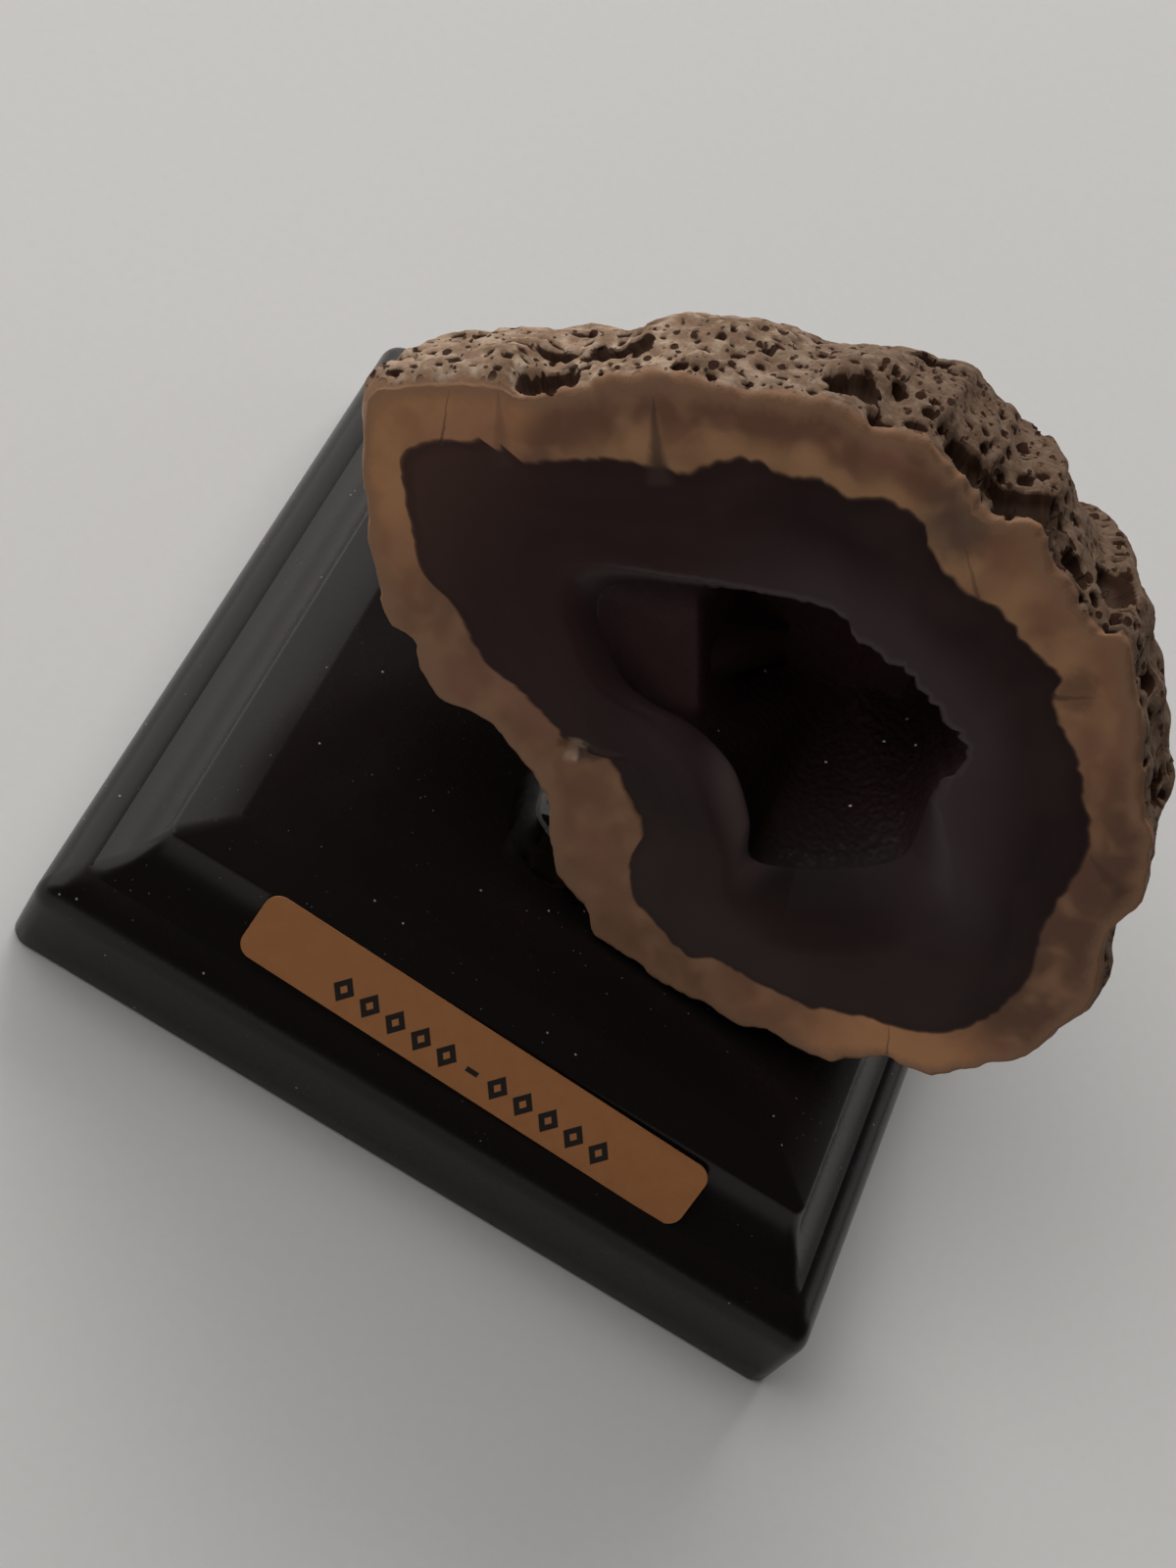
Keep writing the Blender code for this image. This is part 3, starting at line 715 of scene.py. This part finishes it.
def radii_about(points, centre, angles):
    """Distance from a centre to an outline, in each direction."""
    offsets = smooth_outline(points) - centre
    bearings = np.arctan2(offsets[:, 1], offsets[:, 0])
    order = np.argsort(bearings)
    return np.interp(angles, bearings[order], np.hypot(*offsets.T)[order], period=2 * math.pi)


def bearings_round(count):
    """Even bearings round a ring, from nought, each within half a turn of it."""
    bearings = np.arange(count) * 2 * math.pi / count
    return np.where(bearings > math.pi, bearings - 2 * math.pi, bearings)


def directions(bearings):
    return np.stack([np.cos(bearings), np.sin(bearings)], axis=1)


def by_bearing(table, bearings):
    """Each further column of a table whose first column is a bearing in degrees, read at the bearings."""
    columns = np.array(table, float).T
    return [np.interp(np.degrees(bearings), columns[0], column) for column in columns[1:]]


def eased(share):
    return share * share * (3 - 2 * share)


def ripple(spots, size, layer):
    """Smooth seeded variation at points of a plane, between about -1 and 1."""
    return np.array([noise.noise((x / size, y / size, layer * 7.3)) for x, y in spots])


def hollow_edge(bearings):
    """Rim of the hollow: jagged with crystal ends along its top and right, smooth elsewhere."""
    outward = directions(bearings)
    spots = HOLLOW_CENTRE + outward * radii_about(HOLLOW_RIM, HOLLOW_CENTRE, bearings)[:, None]
    bumps = np.abs(ripple(spots, 1.3, 1)) * 0.8 + ripple(spots, 0.6, 2) * 0.35 - 0.2
    return spots - outward * (bumps * by_bearing(RIM_TEETH, bearings)[0] * 0.9)[:, None]


def lump_heights(bearings, lift):
    """Height of the broad rises and dips along one row of the skin."""
    heights = np.zeros(len(bearings))
    for bearing, lump_lift, reach, rise in SKIN_LUMPS:
        turn = (np.degrees(bearings) - bearing + 180) % 360 - 180
        around = np.radians(turn) * math.cos(lift)
        back = lift - math.radians(lump_lift)
        heights += rise * np.exp(-(around ** 2 + back ** 2) / math.radians(reach) ** 2)
    return heights * min(lift / math.radians(3), 1)


def skin_row(bearings, radii, lift):
    """One row of the outer skin, in the cut face's directions: along, up and depth."""
    grown = radii + lump_heights(bearings, lift)
    share = math.sin(lift) ** (2 / STONE_FULLNESS)
    drift = np.array(STONE_DRIFT) * share
    flat = FACE_CENTRE + directions(bearings) * (grown * math.cos(lift))[:, None] + drift
    return np.column_stack([flat, np.full(len(bearings), STONE_DEPTH * share)])


def to_world(places):
    """World points, in millimetres, of places given along, up and behind the cut face."""
    return FACE_FOOT + places[..., :1] * FACE_U + places[..., 1:2] * FACE_V - places[..., 2:] * FACE_NORMAL


def point_tree(points):
    tree = kdtree.KDTree(len(points))
    for index, point in enumerate(points.tolist()):
        tree.insert(point, index)
    tree.balance()
    return tree


def within(tree, point, reach):
    """Indices of the points near a point."""
    return np.array([item[1] for item in tree.find_range(point.tolist(), reach)])


def grid_normals(grid):
    """Outward normals of a grid of rows whose points run round the stone."""
    around = np.roll(grid, -1, axis=1) - np.roll(grid, 1, axis=1)
    back = np.gradient(grid, axis=0)
    normals = np.cross(around, back)
    return normals / np.maximum(np.linalg.norm(normals, axis=2, keepdims=True), 1e-9)


def at_each(points, value):
    flat = points.reshape(-1, 3).tolist()
    return np.array([value(point) for point in flat]).reshape(points.shape[:-1])


def layered_noise(point):
    return noise.fractal(point, 0.6, 2.1, 2)


def crystal_tip(point):
    """Height of crystal ends that stand a unit apart, from their low edges to their tips."""
    return min(max(1 - noise.voronoi(point)[0][0] * 1.5, -0.3), 1)


def carve(points, centre, inward, along, reach, depth):
    """Sinks nearby points to the floor of an angular pit, in place, and returns its depth at each."""
    offsets = points - centre
    back = np.cross(inward, along)
    across = np.abs(offsets @ along) / reach[0]
    beyond = np.abs(offsets @ back) / reach[1]
    ragged = at_each(points * 0.9, noise.noise)
    share = (across ** 3 + beyond ** 3) ** (1 / 3) * (1 + 0.3 * ragged)
    floor = depth * np.clip(1 - share ** 5, 0, 1)
    moved = np.where(share < 1, np.maximum(floor - np.maximum(offsets @ inward, -0.6), 0), 0)
    points += moved[:, None] * inward
    return floor


def dig_large_pits(points, normals, skin_start):
    """The big angular pits, in place, which also bite into the edge of the polished face."""
    tree = point_tree(points)
    sunk = np.zeros(len(points))
    for bearing, lift, width, height, depth in LARGE_PITS:
        angle = np.array([math.radians(bearing)])
        radius = radii_about(FACE_OUTLINE, FACE_CENTRE, angle)
        index = tree.find(to_world(skin_row(angle, radius, math.radians(lift)))[0].tolist())[1]
        inward = -normals[index - skin_start]
        if lift < 20:
            inward = inward - FACE_NORMAL * (inward @ FACE_NORMAL)
            inward /= np.linalg.norm(inward)
        along = np.cross(inward, FACE_NORMAL)
        along /= np.linalg.norm(along)
        near = within(tree, points[index], max(width, height) * 0.8 + 2)
        group = points[near]
        floor = carve(group, points[index].copy(), inward, along, (width / 2, height / 2), depth)
        sunk[near] = np.maximum(sunk[near], floor)
        points[near] = group
    return sunk


def small_pit_depths(points, normals, area):
    """Depth of many small round pits, crowded as in old lava and strewn by a fixed seed."""
    rng = np.random.default_rng(20)
    tree = point_tree(points)
    sunk = np.zeros(len(points))
    taken = np.zeros(len(points), dtype=bool)
    for index in rng.choice(len(points), SMALL_PIT_TRIES, replace=False, p=area / area.sum()):
        if taken[index]:
            continue
        wide = 0.36 + 0.5 * rng.random() ** 2.4
        narrow = wide * rng.uniform(0.6, 0.9)
        depth = min(0.3 + 0.7 * wide, 0.9)
        turn = rng.normal(1.4, 0.5)
        normal = normals[index]
        side = np.cross(normal, FACE_NORMAL)
        side /= max(np.linalg.norm(side), 1e-6)
        major = side * math.cos(turn) + np.cross(normal, side) * math.sin(turn)
        minor = np.cross(normal, major)
        near = within(tree, points[index], wide + 0.75)
        taken[near] = True
        offsets = points[near] - points[index]
        reach = np.hypot(offsets @ major / wide, offsets @ minor / narrow)
        sunk[near] = np.maximum(sunk[near], depth * np.clip(1 - reach ** 5, 0, 1))
    return sunk


def mouth_depth(share, drop, dished):
    """Depth across the mouth's softened edge, from the hollow's rim at 0 to the flat face at 1."""
    rounded = 1 - np.sqrt(np.clip(1 - (1 - share) ** 2, 0, 1))
    return drop * (dished * (1 - share) ** 2 + (1 - dished) * rounded)


def face_edges(bearings):
    """Scalloped edge of the agate, radii of the nicked edge of the stone, and the wear along that edge."""
    outward = directions(bearings)
    spots = FACE_CENTRE + outward * radii_about(AGATE_OUTLINE, FACE_CENTRE, bearings)[:, None]
    scallops = np.abs(ripple(spots, 1.7, 3)) * 0.55 + ripple(spots, 0.7, 4) * 0.14 - 0.15
    agate = spots + outward * scallops[:, None]
    radii = radii_about(FACE_OUTLINE, FACE_CENTRE, bearings)
    spots = FACE_CENTRE + outward * radii[:, None]
    nicks = ripple(spots, 2.6, 5) * 0.35 + ripple(spots, 1.0, 6) * 0.2
    nicks = nicks - np.abs(ripple(spots, 0.55, 7)) * 0.1
    wear = by_bearing(EDGE_WEAR, bearings)[0]
    wear = wear * (0.45 + np.abs(ripple(spots, 3.1, 8)) + 0.6 * np.abs(ripple(spots, 1.1, 9)))
    return agate, radii + nicks, wear


def face_rows(bearings, agate, edge, wear):
    """Rows over the hollow's hidden wall, its mouth and the flat face, and the band of each row."""
    outward = directions(bearings)
    rim = hollow_edge(bearings)
    width, drop, dished = by_bearing(MOUTH_SLOPE, bearings)
    lip = rim + outward * width[:, None]
    rows, bands = [], []

    def add_row(flat, depth, band):
        rows.append(np.column_stack([flat, np.broadcast_to(depth, (AROUND,))]))
        bands.append(band)

    for share in (0.4, 0.8):
        depth = (HOLLOW_DEPTH + WALL_GAP) * (1 - share ** 8)
        flat = HOLLOW_CENTRE + (rim - HOLLOW_CENTRE + outward * WALL_SPREAD) * share
        add_row(flat, depth + drop * 0.5, 0)
    add_row(rim + outward * WALL_SPREAD, drop + WALL_GAP, 0)
    add_row(rim + outward * 0.25, drop + 0.35, 0)
    for share in (0, 0.03, 0.1, 0.2, 0.32, 0.46, 0.62, 0.8, 1):
        add_row(rim + outward * (width * share)[:, None], mouth_depth(share, drop, dished), share - 1)
    for share in np.linspace(0, 1, 9)[1:]:
        add_row(lip + (agate - lip) * share, 0, share)
    for share in np.linspace(0, 1, 13)[1:]:
        add_row(agate + (edge - outward * wear[:, None] - agate) * share, 0, 1 + share)
    for row in rows[-21:]:
        away = np.hypot((row[:, 0] - CHIP[0]) * 0.8, (row[:, 1] - CHIP[1]) * 1.7)
        row[:, 2] += CHIP_DEPTH * np.clip(1 - (away / CHIP_RADIUS) ** 2, 0, 1)
    return rows, bands


def skin_rows(bearings, radii, edge, wear):
    """Rows of the outer skin, from the softened edge of the cut to its back."""
    rows = []
    for turn in np.radians((18, 36, 54, 72)):
        flat = edge - directions(bearings) * (wear * (1 - math.sin(turn)))[:, None]
        rows.append(np.column_stack([flat, wear * (1 - math.cos(turn))]))
    for lift in np.radians(90) * np.linspace(0, 1, SKIN_ROWS + 2)[1:-1] ** 1.15:
        row = skin_row(bearings, radii, lift)
        row[:, 2] = np.hypot(row[:, 2], wear)
        rows.append(row)
    return rows


def roughen(skin, depth):
    """Adds lumps, knobs and small pits, and returns the skin, its normals and how deep the pits are."""
    normals = grid_normals(skin)
    normals = normals * np.sign(np.mean(np.sum(normals * (skin - skin.mean((0, 1))), axis=2)))
    broad = at_each(skin / LUMP_SIZE, noise.noise) + 0.45 * at_each(skin / (LUMP_SIZE / 3), noise.noise)
    skin = skin + normals * (np.clip(depth / 4, 0, 1) * STONE_LUMPS * broad)[..., None]
    turned = grid_normals(skin)
    normals = turned * np.sign(np.sum(turned * normals, axis=2, keepdims=True))
    knobs = at_each(skin / 2.8, layered_noise)
    rough = at_each(skin / 0.9 + 9.1, layered_noise)
    near = np.clip((depth - 0.4) / 1.6, 0, 1)
    skin = skin + normals * (near * (0.24 * knobs - 0.07 * np.abs(rough)))[..., None]
    steps = np.linalg.norm(np.roll(skin, -1, axis=1) - skin, axis=2)
    area = steps * np.linalg.norm(np.gradient(skin, axis=0), axis=2) * np.clip((depth - 0.5) / 1.2, 0, 1)
    sunk = small_pit_depths(skin.reshape(-1, 3), normals.reshape(-1, 3), area.ravel()).reshape(depth.shape)
    return skin - normals * sunk[..., None], normals, sunk


def make_geode(face_material, skin_material):
    """The stone as one surface: hidden wall of the hollow, soft mouth, flat face and pitted skin."""
    bearings = bearings_round(AROUND)
    agate, radii, wear = face_edges(bearings)
    edge = FACE_CENTRE + directions(bearings) * radii[:, None]
    rows, bands = face_rows(bearings, agate, edge, wear)
    first = len(rows)
    rows += skin_rows(bearings, radii, edge, wear)
    bands += [2] * (len(rows) - first)
    grid = np.stack(rows)
    world = to_world(grid)
    world[first:], normals, sunk = roughen(world[first:], grid[first:, :, 2])
    points = world.reshape(-1, 3)
    carved = dig_large_pits(points, normals.reshape(-1, 3), first * AROUND)
    low, high = (np.array(corner) / MM for corner in cad_box)
    points = np.clip(points, (low[0], low[1], REST_HEIGHT), high - 0.02)

    bottom = np.array([[*HOLLOW_CENTRE, HOLLOW_DEPTH + 1.6]])
    back = skin_row(np.zeros(1), np.zeros(1), math.radians(90))
    piece = add_piece(
        "geode_stone", np.concatenate([to_world(bottom), points, to_world(back)]),
        [1] + [AROUND] * len(rows) + [1], [face_material, skin_material], "geode", 65,
    )
    set_attribute(piece, "place", np.concatenate([[HIDDEN_PLACE], grid.reshape(-1, 3), [BACK_PLACE]]))
    set_attribute(piece, "band", np.concatenate([[0], np.repeat(bands, AROUND), [2]]))
    deepest = np.maximum(carved, np.concatenate([np.zeros(first * AROUND), sunk.ravel()]))
    set_attribute(piece, "pit", np.concatenate([[0], deepest, [0]]))
    indices = np.zeros(len(piece.data.polygons), dtype=np.int32)
    indices[first * AROUND:] = 1
    piece.data.polygons.foreach_set("material_index", indices)


def hollow_depths(places, shares, bearings, drop):
    """Depth of the hollow under its rim and how much of it is the deep part rather than the shelf."""
    steep = 1 - shares ** (4.2 + 2.3 * np.sin(bearings))
    inward = 1 - shares
    gentle = 0.6 * inward + 1.8 * inward ** 2 - 1.4 * inward ** 3
    bowl = steep + (gentle - steep) * eased(by_bearing(GENTLE_WALL, bearings)[0])
    start, end = (np.array(point) for point in SHELF_LINE)
    line = (end - start) / np.hypot(*(end - start))
    offset = places - start
    side = offset[..., 0] * line[1] - offset[..., 1] * line[0]
    blend = eased(np.clip(0.5 - side / SHELF_BLEND, 0, 1))
    floor = SHELF_DEPTH + (HOLLOW_DEPTH - SHELF_DEPTH) * blend
    return drop + (floor - drop) * bowl, blend


def make_crystal_lining(material):
    """The druse: a thin crust whose inner side is covered with small crystal ends."""
    bearings = bearings_round(CRUST_AROUND)
    outward = directions(bearings)
    rim = hollow_edge(bearings)
    drop = by_bearing(MOUTH_SLOPE, bearings)[1]

    # Deeper in, the wall loses the corners of the rim
    radii = np.hypot(*(rim - HOLLOW_CENTRE).T)
    reach = np.arange(-CRUST_AROUND // 2, CRUST_AROUND // 2)
    weights = np.exp(-(reach / (CRUST_AROUND * 0.05)) ** 2)
    sums = np.array([np.sum(np.roll(radii, -i)[reach] * weights) for i in range(CRUST_AROUND)])
    rounded = sums / weights.sum()

    def wall(shares, sunk=0.0):
        radius = (rounded + (radii - rounded) * shares ** 6) * shares
        radius = np.minimum(radius, radii * (0.9 * shares ** 0.3 + 0.1 * shares)) + sunk * shares
        flat = HOLLOW_CENTRE + outward * radius[..., None]
        depth, deep = hollow_depths(flat, shares, bearings, drop)
        return np.concatenate([flat, depth[..., None] + sunk], axis=-1), deep

    # Even steps along the wall on every bearing
    fine = np.repeat(np.linspace(0, 1, 400)[:, None], CRUST_AROUND, axis=1)
    steps = np.linalg.norm(np.diff(wall(fine)[0], axis=0), axis=2)
    run = np.concatenate([np.zeros((1, CRUST_AROUND)), np.cumsum(steps, axis=0)])
    targets = np.linspace(0, 1, CRUST_ROWS + 1)[1:]
    shares = np.stack([
        np.interp(targets, run[:, i] / run[-1, i], fine[:, i]) for i in range(CRUST_AROUND)
    ], axis=1)
    grid, deep = wall(shares)
    world = to_world(grid)
    normals = grid_normals(world)
    normals = normals * np.sign(np.mean(normals[:40] @ FACE_NORMAL))
    large, small = at_each(grid / LARGE_TIP, crystal_tip), at_each(grid / SMALL_TIP + 3.0, crystal_tip)
    height = large * 0.15 + small * 0.09
    fade = np.clip((1 - targets) / 0.03, 0, 1)[:, None] * (0.2 + 0.8 * deep)
    fade = fade * np.interp(grid[..., 1], (18, 26), (0.3, 1))
    world = world + normals * (height * fade)[..., None]
    back = [
        to_world(wall(np.full(CRUST_AROUND, share), CRUST_THICKNESS)[0]) for share in (1.0, 0.86, 0.6, 0.3)
    ]
    middle = hollow_depths(HOLLOW_CENTRE[None], np.zeros(1), np.zeros(1), np.zeros(1))[0]
    ends = (np.array([[*HOLLOW_CENTRE, *(middle + sunk)]]) for sunk in (0, CRUST_THICKNESS))
    first, last = (to_world(end) for end in ends)
    counts = [1] + [CRUST_AROUND] * (CRUST_ROWS + len(back)) + [1]
    points = np.concatenate([first, world.reshape(-1, 3), *back, last])
    piece = add_piece("druse_crust", points, counts, [material], "crystal_lining", 70)
    places = np.concatenate([grid.reshape(-1, 3)] + [grid[-1]] * len(back))
    set_attribute(piece, "place", np.concatenate([grid[0, :1], places, grid[0, :1]]))
    hidden = np.ones(CRUST_AROUND * len(back) + 1)
    set_attribute(piece, "deep", np.concatenate([[1], deep.ravel(), hidden]))
    inset = np.repeat((1 - targets)[:, None], CRUST_AROUND, axis=1) * run[-1]
    set_attribute(piece, "inset", np.concatenate([[20], inset.ravel(), hidden * 20]))


def make_glue_drop():
    """A squat clear drop squeezed between the stand and the stone."""
    points, counts = [], []
    for step in range(GLUE_ROWS + 1):
        angle = math.radians(90 * step / GLUE_ROWS)
        radius = GLUE_RADIUS * math.cos(angle) ** 0.25
        count = GLUE_SEGMENTS if step < GLUE_ROWS else 1
        for i in range(count):
            turn = 2 * math.pi * i / count
            swell = 1 + 0.035 * math.sin(3 * turn + 0.6) + 0.02 * math.sin(7 * turn)
            lean = 1 - 0.4 * (0.5 - 0.5 * math.cos(turn - 0.3)) * radius / GLUE_RADIUS
            points.append((
                GLUE_CENTRE[0] + radius * swell * math.cos(turn),
                GLUE_CENTRE[1] + radius * swell * math.sin(turn),
                STAND_HEIGHT + 0.02 + GLUE_HEIGHT * math.sin(angle) * lean,
            ))
        counts.append(count)
    add_piece("clear_glue_drop", points, counts, [clear_glue()], "glue_drop", 50)


def make_floor():
    bpy.ops.mesh.primitive_plane_add(size=FLOOR_SIZE)
    floor = bpy.context.object
    floor.name = "floor"
    floor.data.materials.append(pale_floor())


def add_light(name, bearing, lift, distance, size, power, mirrored=True):
    """A soft rectangle of light aimed at the stand, with angles in degrees and lengths in metres."""
    lamp = bpy.data.lights.new(name, "AREA")
    lamp.shape = "RECTANGLE"
    lamp.size, lamp.size_y = size
    lamp.energy = power
    lamp.color = (1.0, 0.982, 0.96)
    bearing, lift = math.radians(bearing), math.radians(lift)
    flat = math.cos(lift)
    way = Vector((flat * math.cos(bearing), flat * math.sin(bearing), math.sin(lift)))
    item = bpy.data.objects.new(name, lamp)
    item.location = way * distance
    item.rotation_euler = (-way).to_track_quat("-Z", "Y").to_euler()
    item.visible_camera = False
    item.visible_glossy = mirrored
    bpy.context.scene.collection.objects.link(item)


def light_scene():
    """Broad soft light from behind and the left, so the cut face stays in its own shade."""
    add_light("window", 158, 32, 1.05, (2.3, 1.3), 10.5)
    add_light("back_light", 96, 30, 2.5, (1.8, 1.2), 34.0, mirrored=False)
    add_light("ceiling", 190, 68, 1.0, (1.0, 1.0), 1.8, mirrored=False)
    add_light("front_card", -110, 25, 1.0, (1.0, 0.6), 0.6, mirrored=False)
    add_light("right_card", 35, 22, 1.0, (0.8, 0.5), 0.7)
    world = bpy.data.worlds.new("studio")
    world.use_nodes = True
    background = world.node_tree.nodes["Background"]
    background.inputs["Color"].default_value = (1.0, 0.97, 0.95, 1)
    background.inputs["Strength"].default_value = 0.03
    bpy.context.scene.world = world


def place_camera():
    data = bpy.data.cameras.new("camera")
    data.lens = CAMERA_LENS
    data.clip_start = 0.01
    camera = bpy.data.objects.new("camera", data)
    place, aim = Vector(CAMERA_PLACE) * MM, Vector(CAMERA_AIM) * MM
    turn = (aim - place).to_track_quat("-Z", "Y").to_matrix().to_4x4()
    camera.matrix_world = Matrix.Translation(place) @ turn @ Matrix.Rotation(CAMERA_ROLL, 4, "Z")
    bpy.context.scene.collection.objects.link(camera)
    bpy.context.scene.camera = camera


place_camera()
light_scene()
make_floor()
make_stand()
make_label()
make_geode(polished_face(), pitted_skin())
make_crystal_lining(dark_druse())
make_glue_drop()
bpy.context.scene.view_settings.view_transform = "Standard"
